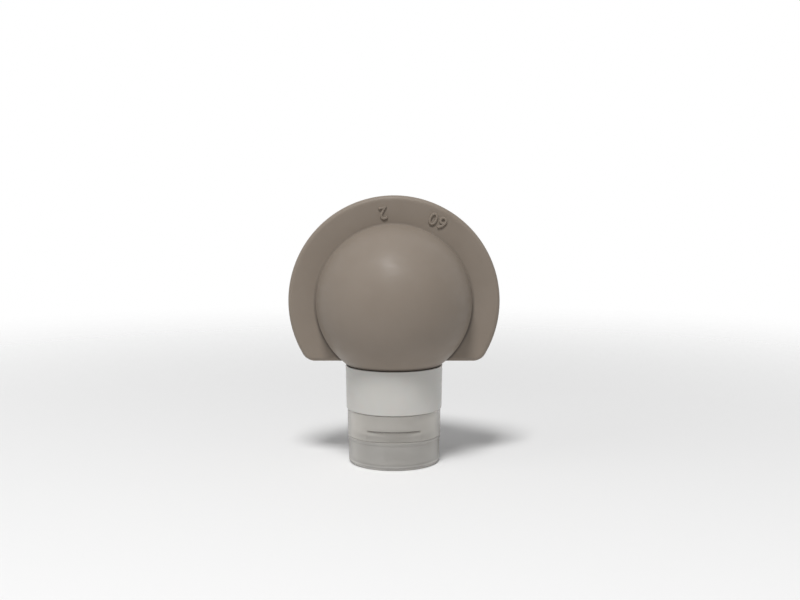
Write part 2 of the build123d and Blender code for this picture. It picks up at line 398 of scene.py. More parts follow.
# %% A helper that rounds the corners of a section
def rounded(corners, least=0.08, steps=5, closed=True):
    """Points round an outline of (radius, height, rounding) corners, in millimetres."""
    nearly_straight = math.radians(86)
    spots = [np.array(corner[:2], float) for corner in corners]
    count = len(corners)
    points = []
    for i, here in enumerate(spots):
        at_end = not closed and i in (0, count - 1)
        on_axis = here[0] < 1e-6
        if at_end or on_axis:
            points.append(here)
            continue
        back = spots[i - 1] - here
        ahead = spots[(i + 1) % count] - here
        room = 0.45 * min(np.linalg.norm(back), np.linalg.norm(ahead))
        back = back / np.linalg.norm(back)
        ahead = ahead / np.linalg.norm(ahead)
        half = math.acos(np.clip(back @ ahead, -1, 1)) / 2
        if half > nearly_straight:
            points.append(here)
            continue
        reach = min(max(corners[i][2], least) / math.tan(half), room)
        rounding = reach * math.tan(half)
        inward = (back + ahead) / np.linalg.norm(back + ahead)
        centre = here + inward * rounding / math.sin(half)
        first = here + back * reach - centre
        last = here + ahead * reach - centre
        for share in np.linspace(0, 1, steps + 1):
            blend = first * (1 - share) + last * share
            points.append(centre + blend / np.linalg.norm(blend) * rounding)
    return points


square = [(1, 0, 0), (2, 0, 0), (2, 1, 0), (1, 1, 0)]
print("four square corners are rounded with", len(rounded(square)), "points")

# %% A helper that keeps flat faces flat
def supported(points, near=0.07, longest=2.0, fine=None, closed=True):
    """The outline with points close to the ends of its long runs, and no long run.
    Fine is (lowest, highest, step): heights where a run near the outside is cut small."""
    fine_beyond = 14.2
    full = []
    count = len(points) if closed else len(points) - 1
    for i in range(count):
        start, end = points[i], points[(i + 1) % len(points)]
        run = np.linalg.norm(end - start)
        stops = {0.0}
        if run > 4 * near:
            inner = run - 2 * near
            cuts = max(1, math.ceil(inner / longest))
            stops |= {(near + inner * k / cuts) / run for k in range(cuts + 1)}
        low, high = sorted((start[1], end[1]))
        near_outside = min(start[0], end[0]) > fine_beyond
        if fine and near_outside and high > fine[0] and low < fine[1]:
            cuts = max(1, math.ceil(run / fine[2]))
            stops |= {k / cuts for k in range(cuts)}
        full += [start + (end - start) * share for share in sorted(stops)]
    if not closed:
        full.append(points[-1])
    return full


print("section helpers are ready")

# %% Helpers that make a mesh a piece
def mend(mesh, merge):
    """Merges doubled points and turns the faces outwards."""
    working = bmesh.new()
    working.from_mesh(mesh)
    bmesh.ops.remove_doubles(working, verts=working.verts, dist=merge)
    bmesh.ops.recalc_face_normals(working, faces=working.faces)
    working.to_mesh(mesh)
    working.free()


def dressed(name, mesh, material, sharp):
    """A smooth piece in its finish. Edges sharper than so many degrees stay crisp."""
    mesh.materials.clear()
    mesh.materials.append(material)
    mesh.shade_smooth()
    mesh.set_sharp_from_angle(angle=math.radians(sharp))
    piece = bpy.data.objects.new(name, mesh)
    bpy.context.scene.collection.objects.link(piece)
    return piece


def new_piece(name, vertices, faces, material, body):
    """A smooth closed piece from millimetres, finished and set on its body."""
    mesh = bpy.data.meshes.new(name)
    mesh.from_pydata([tuple(v) for v in np.asarray(vertices) * MM], [], faces)
    mend(mesh, 1e-7)
    piece = dressed(name, mesh, material, 32)
    if body:
        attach(piece, body)
    return piece


print("piece helpers are ready")

# %% Helpers that turn a section about the bottle's axis
AROUND_AXIS = 144
even_angles = [2 * math.pi * k / AROUND_AXIS for k in range(AROUND_AXIS)]


def turn(points, angles, shape=None, closed=True):
    """Vertices and faces of a section turned about Z. Shape may move the vertices."""
    rings = len(points)
    around = len(angles)
    vertices = []
    for radius, height in points:
        for angle in angles:
            vertices.append((radius * math.cos(angle), radius * math.sin(angle), height))
    vertices = np.array(vertices)
    if shape:
        vertices = shape(vertices)
    faces = []
    for i in range(rings if closed else rings - 1):
        j = (i + 1) % rings
        for k in range(around):
            n = (k + 1) % around
            faces.append((i * around + k, i * around + n, j * around + n, j * around + k))
    return vertices, faces


def turned(name, corners, material, body, fine=None, shape=None, angles=even_angles):
    """A turned piece. Its section is a ring, or starts and ends on the axis."""
    closed = corners[0][0] > 0
    points = supported(rounded(corners, closed=closed), fine=fine, closed=closed)
    vertices, faces = turn(points, angles, shape, closed)
    return new_piece(name, vertices, faces, material, body)


print("turning helpers are ready")

# %% [markdown]
# ## The ball and its brim
#
# The brim is a flat plate in the plane of the axis, round above and cut straight near
# the collar. The ball and plate run into each other with a small hollow round. Joining
# a sphere and a plate with a Boolean would leave a ragged seam there. A plain way to
# get one even skin over such a form is to describe it as a distance field, where the
# round between two forms is one line of arithmetic, and to look for its surface along
# rays from the ball's centre. The rays are spaced by the length of the outline that
# they meet, so the thin edge of the brim gets as many rows as it needs.

# %% The form as a distance field
def joined_corner(first, second, radius):
    """Distance field of the part inside both forms, with a rounded outer corner."""
    outside = np.hypot(np.maximum(first + radius, 0), np.maximum(second + radius, 0))
    return np.minimum(np.maximum(first + radius, second + radius), 0) + outside - radius


def soft_form(x, y, z):
    """Distance to the ball and brim, negative inside. Points are from the ball's centre."""
    ball = np.sqrt(x * x + y * y + z * z) - BALL_RADIUS
    up = z + BALL_Z - BRIM_Z
    disc = np.hypot(x, up) - BRIM_RADIUS
    flat = (BRIM_FLAT_Z - BRIM_Z) - up
    outline = joined_corner(disc, flat, BRIM_CORNER)
    plate = joined_corner(outline, np.abs(y) - BRIM_HALF, BRIM_EDGE)
    hollow = np.hypot(np.maximum(BRIM_ROOT - ball, 0), np.maximum(BRIM_ROOT - plate, 0))
    return np.maximum(BRIM_ROOT, np.minimum(ball, plate)) - hollow


def skin_distance(around, latitude, halvings=34):
    """How far the skin is from the ball's centre along each ray."""
    x = np.sin(around) * np.cos(latitude)
    z = np.cos(around) * np.cos(latitude)
    y = np.sin(latitude)
    near = np.full(x.shape, BALL_RADIUS - 1.0)
    far = np.full(x.shape, BRIM_RADIUS + 2.0)
    for _ in range(halvings):
        middle = (near + far) / 2
        inside = soft_form(x * middle, y * middle, z * middle) < 0
        near = np.where(inside, middle, near)
        far = np.where(inside, far, middle)
    return (near + far) / 2


top_of_brim = skin_distance(np.zeros(1), np.zeros(1))[0]
print("the brim's top is", round(top_of_brim, 2), "mm above the ball's centre")

# %% Directions round the ball, closer at the ends of the brim's straight edge
AROUND = 400
EDGE_ENDS, CROWDING, CROWD_SPREAD = (44.5, 57.0), 2.5, math.radians(3)
crowded = [math.radians(180 + side * at) for side in (-1, 1) for at in EDGE_ENDS]
dense = np.linspace(0, 2 * math.pi, 7201)
crowds = [CROWDING * np.exp(-(((dense - at) / CROWD_SPREAD) ** 2)) for at in crowded]
weight = 1 + sum(crowds)
share = np.concatenate([[0], np.cumsum((weight[1:] + weight[:-1]) / 2)])
around = np.interp(np.linspace(0, share[-1], AROUND, endpoint=False), share, dense)
widest = math.degrees(np.diff(around).max())
print("steps round the ball are at most", round(widest, 2), "degrees")

# %% Rows from the brim's edge to the ball's front and back
BRIM_ROWS, BALL_ROWS, PROBES = 34, 34, 500
edge_of_brim = math.radians(7)
fine_rows = np.linspace(0, edge_of_brim, PROBES)
grid_around, grid_rows = np.meshgrid(around, fine_rows, indexing="ij")
reach = skin_distance(grid_around, grid_rows)
out, up = reach * np.cos(grid_rows), reach * np.sin(grid_rows)
step = np.hypot(np.diff(out, axis=1), np.diff(up, axis=1))
length = np.concatenate([np.zeros((AROUND, 1)), np.cumsum(step, axis=1)], axis=1)
latitudes = np.empty((AROUND, BRIM_ROWS + BALL_ROWS))
latitudes[:, BRIM_ROWS:] = np.linspace(edge_of_brim, math.pi / 2, BALL_ROWS + 2)[1:-1]
for k in range(AROUND):
    wanted = np.linspace(0, length[k, -1], BRIM_ROWS)
    latitudes[k, :BRIM_ROWS] = np.interp(wanted, length[k], fine_rows)
both = np.concatenate([-latitudes[:, :0:-1], latitudes], axis=1)
rows = both.shape[1]
print("skin:", AROUND, "rays around,", rows, "rows")

# %% Points of the skin
skin_reach = skin_distance(np.broadcast_to(around[:, None], both.shape), both)
skin = np.stack(
    [
        skin_reach * np.sin(around)[:, None] * np.cos(both),
        skin_reach * np.sin(both),
        skin_reach * np.cos(around)[:, None] * np.cos(both),
    ],
    axis=-1,
)
skin[..., 2] += BALL_Z
print("skin is", round(np.ptp(skin[..., 0]), 2), "mm wide")

# %% [markdown]
# ## Neck, lip and inside
#
# Below the ball the form is round about the bottle's own axis, so the neck, the lip
# that seals on the washer, the bore and the hollow inside are turned. The skin is
# opened where the collar hides it and stitched to the first ring of the neck. A skin
# with nothing inside would look the same from most sides, but this one is a closed
# solid with a real wall and a real cavity.

# %% The neck's section, from the ball outside to the top of the cavity
def arc(centre, radius, start, end, steps):
    """Points on an arc between two angles in degrees."""
    return [
        np.array([centre[0] + radius * math.cos(a), centre[1] + radius * math.sin(a)])
        for a in np.radians(np.linspace(start, end, steps + 1))
    ]


def blend_on_ball(sphere, tube, hollow):
    """Centre and end angle of the arc from a ball down to a tube below it."""
    across = tube + hollow
    drop = math.sqrt((sphere + hollow) ** 2 - across**2)
    toward_ball = math.degrees(math.atan2(drop, -across))
    return (across, BALL_Z - drop), toward_ball


NECK_BLEND, BORE_BLEND = 1.2, 2.5
outer_centre, outer_start = blend_on_ball(BALL_RADIUS, NECK_RADIUS, NECK_BLEND)
inner_ball = BALL_RADIUS - BALL_WALL
inner_centre, inner_start = blend_on_ball(inner_ball, BORE_RADIUS, BORE_BLEND)
lip_corners = [
    (NECK_RADIUS, outer_centre[1] - 0.1, 0),
    (NECK_RADIUS, LIP_TOP, 0.15),
    (TUBE_RADIUS, LIP_TOP, 0.25),
    (TUBE_RADIUS, MOUTH_Z, 0.25),
    (BORE_RADIUS, MOUTH_Z, 0.2),
    (BORE_RADIUS, inner_centre[1] - 0.1, 0),
]
mouth_angle = math.degrees(math.atan2(inner_centre[1] - BALL_Z, inner_centre[0]))
neck = arc(outer_centre, NECK_BLEND, outer_start, 180, 8)
neck += supported(rounded(lip_corners, closed=False), closed=False)
neck += arc(inner_centre, BORE_BLEND, 180, inner_start, 8)
neck += arc((0, BALL_Z), inner_ball, mouth_angle, 90, 44)[1:-1]
print("the neck's section has", len(neck), "points")

# %% Faces of the skin, the neck and the cavity
OPENING_RADIUS, OPENING_DROP = 12.7, 20
neck_vertices, neck_faces = turn(neck, even_angles, closed=False)
flat_skin = skin.reshape(-1, 3)
poles = np.array([[0, -BALL_RADIUS, BALL_Z], [0, BALL_RADIUS, BALL_Z]])
roof = np.array([[0, 0, BALL_Z + inner_ball]])
vertices = np.concatenate([flat_skin, poles, neck_vertices, roof])
near_axis = np.hypot(flat_skin[:, 0], flat_skin[:, 1]) < OPENING_RADIUS
hidden = near_axis & (flat_skin[:, 2] < BALL_Z - OPENING_DROP)
faces = []
for k in range(AROUND):
    n = (k + 1) % AROUND
    for r in range(rows - 1):
        quad = (k * rows + r, n * rows + r, n * rows + r + 1, k * rows + r + 1)
        if not any(hidden[v] for v in quad):
            faces.append(quad)
    faces.append((k * rows, AROUND * rows, n * rows))
    faces.append((k * rows + rows - 1, n * rows + rows - 1, AROUND * rows + 1))
first_neck = AROUND * rows + 2
faces += [tuple(v + first_neck for v in face) for face in neck_faces]
last_ring = first_neck + (len(neck) - 1) * AROUND_AXIS
roof_vertex = len(vertices) - 1
for k in range(AROUND_AXIS):
    faces.append((last_ring + k, last_ring + (k + 1) % AROUND_AXIS, roof_vertex))
print("silicone mesh:", len(vertices), "points and", len(faces), "faces")

# %% Stitch the skin to the neck
mesh = bpy.data.meshes.new("silicone_skin")
mesh.from_pydata([tuple(v) for v in vertices * MM], [], faces)
working = bmesh.new()
working.from_mesh(mesh)
loose = [v for v in working.verts if not v.link_faces]
bmesh.ops.delete(working, geom=loose, context="VERTS")
bmesh.ops.bridge_loops(working, edges=[e for e in working.edges if e.is_boundary])
bmesh.ops.recalc_face_normals(working, faces=working.faces)
left_open = sum(e.is_boundary for e in working.edges)
working.to_mesh(mesh)
working.free()
bottle = dressed("silicone_skin", mesh, silicone, 40)
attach(bottle, "bottle")
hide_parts("silicone_bottle")
print("silicone:", len(mesh.polygons), "faces,", left_open, "open edges")

# %% [markdown]
# ## Raised numerals on the brim
#
# The bottle's size stands on the brim in shallow raised numerals, cut into the mould.
# Only the plain numbers are made. They follow the brim with their tops toward the ball,
# so that they read upright once the bottle is turned cap up. Bump could draw them, but
# they stand proud enough to catch light on their sides. Each is a text outline,
# thickened, made a mesh, and only then laid on the brim.

# %% A helper that shapes one numeral
NUMERAL_SIZE, NUMERAL_NARROW, NUMERAL_SUNK = 5.9, 0.98, 0.14
NUMERAL_THICK, NUMERAL_BEVEL, NUMERAL_THIN = 0.2, 0.22, -0.1


def numeral_mesh(character):
    """A thick numeral with rounded edges, still flat on the ground."""
    curve = bpy.data.curves.new("numeral_curve", "FONT")
    curve.body = character
    curve.size = NUMERAL_SIZE * MM
    curve.align_x, curve.align_y = "CENTER", "CENTER"
    curve.extrude = NUMERAL_THICK * MM
    curve.bevel_depth = NUMERAL_BEVEL * MM
    curve.bevel_resolution = 4
    curve.offset = NUMERAL_THIN * MM
    curve.resolution_u = 6
    holder = bpy.data.objects.new("numeral_holder", curve)
    bpy.context.scene.collection.objects.link(holder)
    bpy.context.view_layer.update()
    shown = holder.evaluated_get(bpy.context.evaluated_depsgraph_get())
    mesh = bpy.data.meshes.new_from_object(shown)
    bpy.data.objects.remove(holder)
    return mesh


print("numerals are cut at size", NUMERAL_SIZE, "mm")

# %% Numerals laid round the brim
def raised_numeral(character, degrees, out):
    """One numeral on the brim's front face, so many degrees round from the top."""
    mesh = numeral_mesh(character)
    flat = np.array([v.co for v in mesh.vertices]) / MM
    turn_by = math.radians(degrees)
    outward = np.array([math.sin(turn_by), 0, math.cos(turn_by)])
    right = np.array([-math.cos(turn_by), 0, math.sin(turn_by)])
    middle = np.array([0, -BRIM_HALF, BRIM_Z]) + outward * out
    toward_viewer = np.array([0, -1, 0])
    place = (
        middle
        + np.outer(flat[:, 0] * NUMERAL_NARROW, right)
        - np.outer(flat[:, 1], outward)
        + np.outer(flat[:, 2] + NUMERAL_SUNK, toward_viewer)
    )
    mesh.vertices.foreach_set("co", (place * MM).astype(np.float32).ravel())
    mend(mesh, 1e-6)
    name = "numeral_" + character + "_" + str(round(degrees))
    piece = dressed(name.replace("-", "m"), mesh, silicone, 35)
    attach(piece, "bottle")
    return piece


numerals = [
    raised_numeral("6", 31.2, 30.75),
    raised_numeral("0", 25.2, 30.6),
    raised_numeral("2", -6.9, 29.75),
]
print("numerals:", [piece.name for piece in numerals])

# %% [markdown]
# ## Collar and washer
#
# The collar is a skirt round the neck with a tube inside it. The silicone neck hangs
# in the tube, whose outside carries the thread, and the ball sits in the wide rim. The
# washer lies on the cap's deck and is squeezed by the silicone lip. Both are turned,
# because nothing breaks their roundness.

# %% Collar
TUBE_BORE = NECK_RADIUS + SEAT_GAP
GROOVE_BORE = FOOT_RADIUS - 1.35
GROOVE_TOP = BALL_Z - math.sqrt(SEAT_RADIUS**2 - TUBE_RADIUS**2) - 1.5
SEAT_EDGE = RIM_RADIUS - RIM_LAND
seat_centre, seat_start = blend_on_ball(SEAT_RADIUS, TUBE_BORE, NECK_BLEND - SEAT_GAP)
seat_end = math.degrees(math.asin((COLLAR_TOP - BALL_Z) / SEAT_RADIUS))
seat_from = math.degrees(math.atan2(seat_centre[1] - BALL_Z, seat_centre[0]))
collar_corners = [
    (TUBE_BORE, COLLAR_BOTTOM, 0),
    (TUBE_BORE, TUBE_END, 0.2),
    (TUBE_RADIUS, TUBE_END, 0.25),
    (TUBE_RADIUS, GROOVE_TOP, 0.4),
    (GROOVE_BORE, GROOVE_TOP, 0.4),
    (GROOVE_BORE, COLLAR_BOTTOM, 0.15),
    (FOOT_RADIUS, COLLAR_BOTTOM, 0.25),
    (RIM_RADIUS, COLLAR_TOP, 0.25),
    (SEAT_EDGE + 0.08, COLLAR_TOP, 0),
]
section = supported(rounded(collar_corners, closed=False), closed=False)
section += arc((0, BALL_Z), SEAT_RADIUS, seat_end, seat_from, 10)
section += arc(seat_centre, NECK_BLEND - SEAT_GAP, seat_start, 180, 6)[1:]
points, faces = turn(section, even_angles)
collar = new_piece("collar_shell", points, faces, collar_white, "bottle")
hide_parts("collar")
print("collar:", len(collar.data.polygons), "faces")

# %% Washer
WASHER_IN, WASHER_OUT = 9.65, SKIRT_BORE - 0.9
washer_corners = [
    (WASHER_IN, WASHER_BOTTOM, 0.1),
    (WASHER_OUT, WASHER_BOTTOM, 0.1),
    (WASHER_OUT, WASHER_TOP, 0.1),
    (WASHER_IN, WASHER_TOP, 0.1),
]
washer = turned("sealing_ring", washer_corners, washer_white, "washer")
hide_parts("seal_washer")
print("washer:", len(washer.data.polygons), "faces")

# %% [markdown]
# ## The screw thread
#
# The thread is a rib of trapezoid section that climbs 4.2 mm a turn and fades out at
# both ends, where a cutter would leave the mould. A node tree makes it: a spiral, its
# section swept along it, and the section's size eased to almost nothing at the ends.
# The same tree makes the rib on the collar's tube and the one inside the cap, which
# lies half a turn's rise lower, so that the two pass each other at every turn.

# %% The thread's named sizes and its path
PITCH = 4.2
thread_tree = bpy.data.node_groups.new("screw_thread", "GeometryNodeTree")
sockets = thread_tree.interface
sockets.new_socket("Geometry", in_out="OUTPUT", socket_type="NodeSocketGeometry")
sizes = ["Radius", "Start height", "Turns", "Rise", "Root width", "Crest width", "Depth"]
for name in sizes:
    sockets.new_socket(name, in_out="INPUT", socket_type="NodeSocketFloat")
sockets.new_socket("Finish", in_out="INPUT", socket_type="NodeSocketMaterial")
given = add(thread_tree, "NodeGroupInput").outputs
spiral = add(
    thread_tree,
    "GeometryNodeCurveSpiral",
    Resolution=96,
    Reverse=True,
    Rotations=given["Turns"],
    Start_Radius=given["Radius"],
    End_Radius=given["Radius"],
    Height=compute(thread_tree, "MULTIPLY", given["Turns"], given["Rise"]),
)
upright = add(thread_tree, "GeometryNodeSetCurveNormal", mode="Z_UP")
feed(thread_tree, upright, Curve=spiral.outputs[0])
print("thread sockets:", [item.name for item in sockets.items_tree])

# %% The thread's section, swept along the path
RUN_OUT, END_SCALE, SECTION_ROUND = 0.07, 0.12, 0.18
along = add(thread_tree, "GeometryNodeSplineParameter").outputs["Factor"]
other_end = compute(thread_tree, "SUBTRACT", 1.0, along)
from_end = compute(thread_tree, "MINIMUM", along, other_end)
section = add(
    thread_tree,
    "GeometryNodeCurvePrimitiveQuadrilateral",
    mode="TRAPEZOID",
    Offset=0.0,
    Bottom_Width=given["Root width"],
    Top_Width=given["Crest width"],
    Height=given["Depth"],
)
softened = add(
    thread_tree,
    "GeometryNodeFilletCurve",
    mode="POLY",
    Count=3,
    Radius=SECTION_ROUND * MM,
    Curve=section.outputs[0],
)
turned_section = add(
    thread_tree,
    "GeometryNodeTransform",
    Rotation=(0, 0, math.radians(90)),
    Geometry=softened.outputs[0],
)
swept = add(
    thread_tree,
    "GeometryNodeCurveToMesh",
    Fill_Caps=True,
    Curve=upright.outputs[0],
    Profile_Curve=turned_section.outputs[0],
    Scale=remap(thread_tree, from_end, 0.0, RUN_OUT, END_SCALE, 1.0),
)
print("the thread fades out over", RUN_OUT, "of its length at each end")

# %% The thread lifted into place and finished
offset = add(thread_tree, "ShaderNodeCombineXYZ", Z=given["Start height"])
lifted = add(
    thread_tree,
    "GeometryNodeTransform",
    Geometry=swept.outputs[0],
    Translation=offset.outputs[0],
)
real = add(thread_tree, "GeometryNodeRealizeInstances", Geometry=lifted.outputs[0])
painted = add(
    thread_tree,
    "GeometryNodeSetMaterial",
    Geometry=real.outputs[0],
    Material=given["Finish"],
)
add(thread_tree, "NodeGroupOutput", Geometry=painted.outputs[0])
print("the thread's tree has", len(thread_tree.nodes), "nodes")

# %% A helper that grows a thread
def thread(name, body, material, radius, start, root, crest, depth, turns=1.15):
    """A thread rib grown by the node tree, then kept as a plain mesh on its body."""
    seed = bpy.data.objects.new(name, bpy.data.meshes.new(name))
    bpy.context.scene.collection.objects.link(seed)
    grower = seed.modifiers.new("thread", "NODES")
    grower.node_group = thread_tree
    wanted = {
        "Radius": radius * MM,
        "Start height": start * MM,
        "Turns": turns,
        "Rise": PITCH * MM,
        "Root width": root * MM,
        "Crest width": crest * MM,
        "Depth": depth * MM,
        "Finish": material,
    }
    for item in thread_tree.interface.items_tree:
        if item.in_out == "INPUT":
            grower[item.identifier] = wanted[item.name]
    bpy.context.view_layer.update()
    shown = seed.evaluated_get(bpy.context.evaluated_depsgraph_get())
    mesh = bpy.data.meshes.new_from_object(shown)
    seed.modifiers.remove(grower)
    seed.data = mesh
    mesh.shade_smooth()
    mesh.set_sharp_from_angle(angle=math.radians(40))
    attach(seed, body)
    spread = np.array([v.co for v in mesh.vertices]) / MM
    radii = np.hypot(spread[:, 0], spread[:, 1])
    print(name, len(mesh.polygons), "faces, finish", [m.name for m in mesh.materials])
    print("  radius", radii.min().round(2), "to", radii.max().round(2), "mm")
    print("  height", spread[:, 2].min().round(2), "to", spread[:, 2].max().round(2), "mm")


# %% The two threads
OUTER_START = TUBE_END + 1.3
INNER_START = OUTER_START - PITCH / 2
THREAD_WIDE, THREAD_NARROW, ROOT_SUNK = 1.7, 0.8, 0.25
thread(
    "collar_thread", "bottle", collar_white,
    radius=TUBE_RADIUS + ROOT_SUNK, start=OUTER_START,
    root=THREAD_WIDE, crest=THREAD_NARROW, depth=0.75,
)
thread(
    "cap_thread", "cap", clear,
    radius=SKIRT_BORE - ROOT_SUNK, start=INNER_START,
    root=THREAD_NARROW, crest=THREAD_WIDE, depth=0.7,
)

# %% [markdown]
# ## Cap, recess and hinge pads
#
# The cap and lid are turned, but two things break their roundness: a shallow scoop
# where a thumb lifts the lid, and flat pads for the hinge. A Boolean cut would leave
# hard seams. Both are shallow changes of the outer wall, so they are pressed into the
# turned mesh, with more points round the back and front. That leaves soft moulded
# edges and no seams.

# %% Recess as a change of radius
RECESS_EDGE, WALL_FROM = 0.35, SKIRT_BORE + 0.2


def scaled_to(points, radius):
    """Points moved along their own radius."""
    now = np.hypot(points[:, 0], points[:, 1])
    factor = np.where(now > 1e-6, radius / np.maximum(now, 1e-6), 1)
    return points * np.stack([factor, factor, np.ones_like(factor)], axis=1)


def press_recess(points):
    """Moves the wall inward to the floor of the scoop at the front, the deck's edge
    with it. The floor is rounder than the wall and meets it at both ends, and a ledge
    with a soft corner ends it above."""
    x, y, z = points.T
    radius = np.hypot(x, y)
    half = RECESS_WIDTH / 2
    floor_bow = CAP_RADIUS - math.sqrt(CAP_RADIUS**2 - half**2) - RECESS_DEPTH
    floor_radius = (half**2 + floor_bow**2) / (2 * floor_bow)
    centre_y = floor_radius - (CAP_RADIUS - RECESS_DEPTH)
    along = y / np.maximum(radius, 1e-6) * centre_y
    floor_at = along + np.sqrt(floor_radius**2 - centre_y**2 + along**2)
    below_top = CAP_BOTTOM + RECESS_HEIGHT - z
    under_ledge = np.clip(below_top / RECESS_EDGE, 0, 1)
    depth = np.clip(CAP_RADIUS - floor_at, 0, None) * under_ledge * (y < 0)
    share = np.clip((radius - WALL_FROM) / (CAP_RADIUS - WALL_FROM), 0, 1)
    return scaled_to(points, radius - depth * share)


print("recess:", RECESS_WIDTH, "by", RECESS_HEIGHT, "mm and", RECESS_DEPTH, "mm deep")

# %% Hinge pads as changes of radius
PAD_WIDTH, PAD_HEIGHT, PAD_SLOPE, FILM_FREE = 10.0, 1.5, 0.5, 0.9
SIDE_EASE, END_EASE, OUTER_WALL = 0.16, 0.12, 14.9


def eased_step(value, width):
    """0 below zero and 1 above width, eased between."""
    t = np.clip(value / width, 0, 1)
    return t * t * (3 - 2 * t)


def raise_pad(points, start_z, end_z):
    """Moves the wall outward to the flat pad at the back. The end away from the
    parting slopes."""
    x, y, z = points.T
    radius = np.hypot(x, y)
    toward = 1 if end_z > start_z else -1
    sloped = np.maximum((z - (end_z - toward * PAD_SLOPE)) * toward, 0)
    over = radius * (PAD_FACE_Y - sloped) / np.maximum(y, 1e-6)
    share = eased_step(PAD_WIDTH / 2 + SIDE_EASE / 2 - np.abs(x), SIDE_EASE)
    share = share * eased_step((z - start_z) * toward + END_EASE / 2, END_EASE)
    share = share * eased_step((end_z - z) * toward + END_EASE / 2, END_EASE)
    share = share * (y > 0) * (radius > OUTER_WALL) * (over > radius)
    return scaled_to(points, radius + (np.where(y > 0, over, 0) - radius) * share)


def crowd_of_angles(front=38, back=22, fine=0.5, coarse=3.0):
    """Angles round the axis, close together at the front and back."""
    spans = [(-90 - front, -90 + front, fine), (-90 + front, 90 - back, coarse)]
    spans += [(90 - back, 90 + back, fine), (90 + back, 270 - front, coarse)]
    found = []
    for low, high, step in spans:
        count = round((high - low) / step)
        found += [low + (high - low) * k / count for k in range(count)]
    return [math.radians(a) for a in found]


print("angles round the cap:", len(crowd_of_angles()))

# %% Cap shell
BORE, SPOUT_RADIUS, SPOUT_ROOT, INLET = 3.0, 4.3, 5.0, 3.2
PLUG_RING, RING_TOP, RING_BORE = 9.5, DECK_TOP + 2.8, 8.6
LAND, LAND_INNER, LAND_Z = 13.7, 12.6, CAP_BOTTOM - 0.9
FINE_STEP = 0.12
cap_corners = [
    (CAP_RADIUS, CAP_TOP, 0.2),
    (SKIRT_BORE, CAP_TOP, 0.2),
    (SKIRT_BORE, DECK_TOP, 0.4),
    (PLUG_RING, DECK_TOP, 0.12),
    (PLUG_RING, RING_TOP - 0.4, 0.1),
    (PLUG_RING - 0.4, RING_TOP, 0.1),
    (RING_BORE, RING_TOP, 0.1),
    (RING_BORE, DECK_TOP, 0.12),
    (INLET, DECK_TOP, 0.08),
    (BORE, DECK_TOP - 0.3, 0.08),
    (BORE, SPOUT_TIP, 0.12),
    (SPOUT_RADIUS, SPOUT_TIP, 0.3),
    (SPOUT_ROOT, CAP_BOTTOM, 0.5),
    (LAND_INNER, CAP_BOTTOM, 0.1),
    (LAND_INNER, LAND_Z, 0.12),
    (LAND, LAND_Z, 0.2),
    (LAND, CAP_BOTTOM, 0.08),
    (CAP_RADIUS, CAP_BOTTOM, 0.12),
]


def shape_cap(points):
    """The cap's recess at the front and its hinge pad at the back."""
    start = HINGE_Z + FILM_FREE / 2
    return raise_pad(press_recess(points), start, start + PAD_HEIGHT)


cap = turned(
    "cap_body", cap_corners, clear, "cap",
    fine=(CAP_BOTTOM - 0.1, CAP_BOTTOM + 4.3, FINE_STEP),
    shape=shape_cap,
    angles=crowd_of_angles(),
)
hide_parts("cap_shell")
print("cap:", len(cap.data.polygons), "faces")

# %% [markdown]
# ## The lid
#
# The lid is a shallow cup that the bottle stands on. A plug in its middle closes the
# spout, a slightly wider band at its rim gives the finger an edge, and its half of the
# hinge pad meets the cap's. A small dimple in the end is where the plastic was fed in.
# It is turned from one section too, plug and all, as it comes from one mould.

# %% Flip lid
END_RADIUS, BODY_RADIUS, LID_RIM, LID_BORE, LID_PLATE = 15.2, 15.35, 15.55, 14.1, 1.3
SHOULDER, PLUG_TIP, PLUG_ROOT = SPOUT_TIP - 0.2, SPOUT_TIP + 2.0, 3.4
PLUG_RADIUS, PLUG_NOSE = BORE - 0.15, BORE - 0.6
BAND, BAND_SLOPE, LID_DRAFT = LID_HEIGHT - 0.9, 0.15, 0.2
DIMPLE_DEPTH, DIMPLE_FLOOR, DIMPLE_MOUTH = 0.18, 0.7, 1.0
lid_corners = [
    (0, DIMPLE_DEPTH, 0),
    (DIMPLE_FLOOR, DIMPLE_DEPTH, 0.1),
    (DIMPLE_MOUTH, 0, 0.1),
    (END_RADIUS, 0, 1.0),
    (BODY_RADIUS, BAND - BAND_SLOPE, 0.1),
    (LID_RIM, BAND, 0.1),
    (LID_RIM, LID_HEIGHT, 0.15),
    (LID_BORE, LID_HEIGHT, 0.15),
    (LID_BORE - LID_DRAFT, LID_PLATE, 0.8),
    (PLUG_ROOT, LID_PLATE, 0.8),
    (PLUG_ROOT, SHOULDER, 0.1),
    (PLUG_RADIUS, SHOULDER, 0.1),
    (PLUG_RADIUS, SPOUT_TIP, 0.08),
    (PLUG_NOSE, PLUG_TIP, 0.3),
    (0, PLUG_TIP, 0),
]


def shape_lid(points):
    """The lid's half of the hinge pad."""
    start = HINGE_Z - FILM_FREE / 2
    return raise_pad(points, start, start - PAD_HEIGHT)


lid = turned(
    "lid_body", lid_corners, clear, "lid",
    fine=(LID_HEIGHT - 2.3, LID_HEIGHT + 0.1, FINE_STEP),
    shape=shape_lid,
    angles=crowd_of_angles(front=0),
)
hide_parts("flip_lid")
print("lid:", len(lid.data.polygons), "faces")
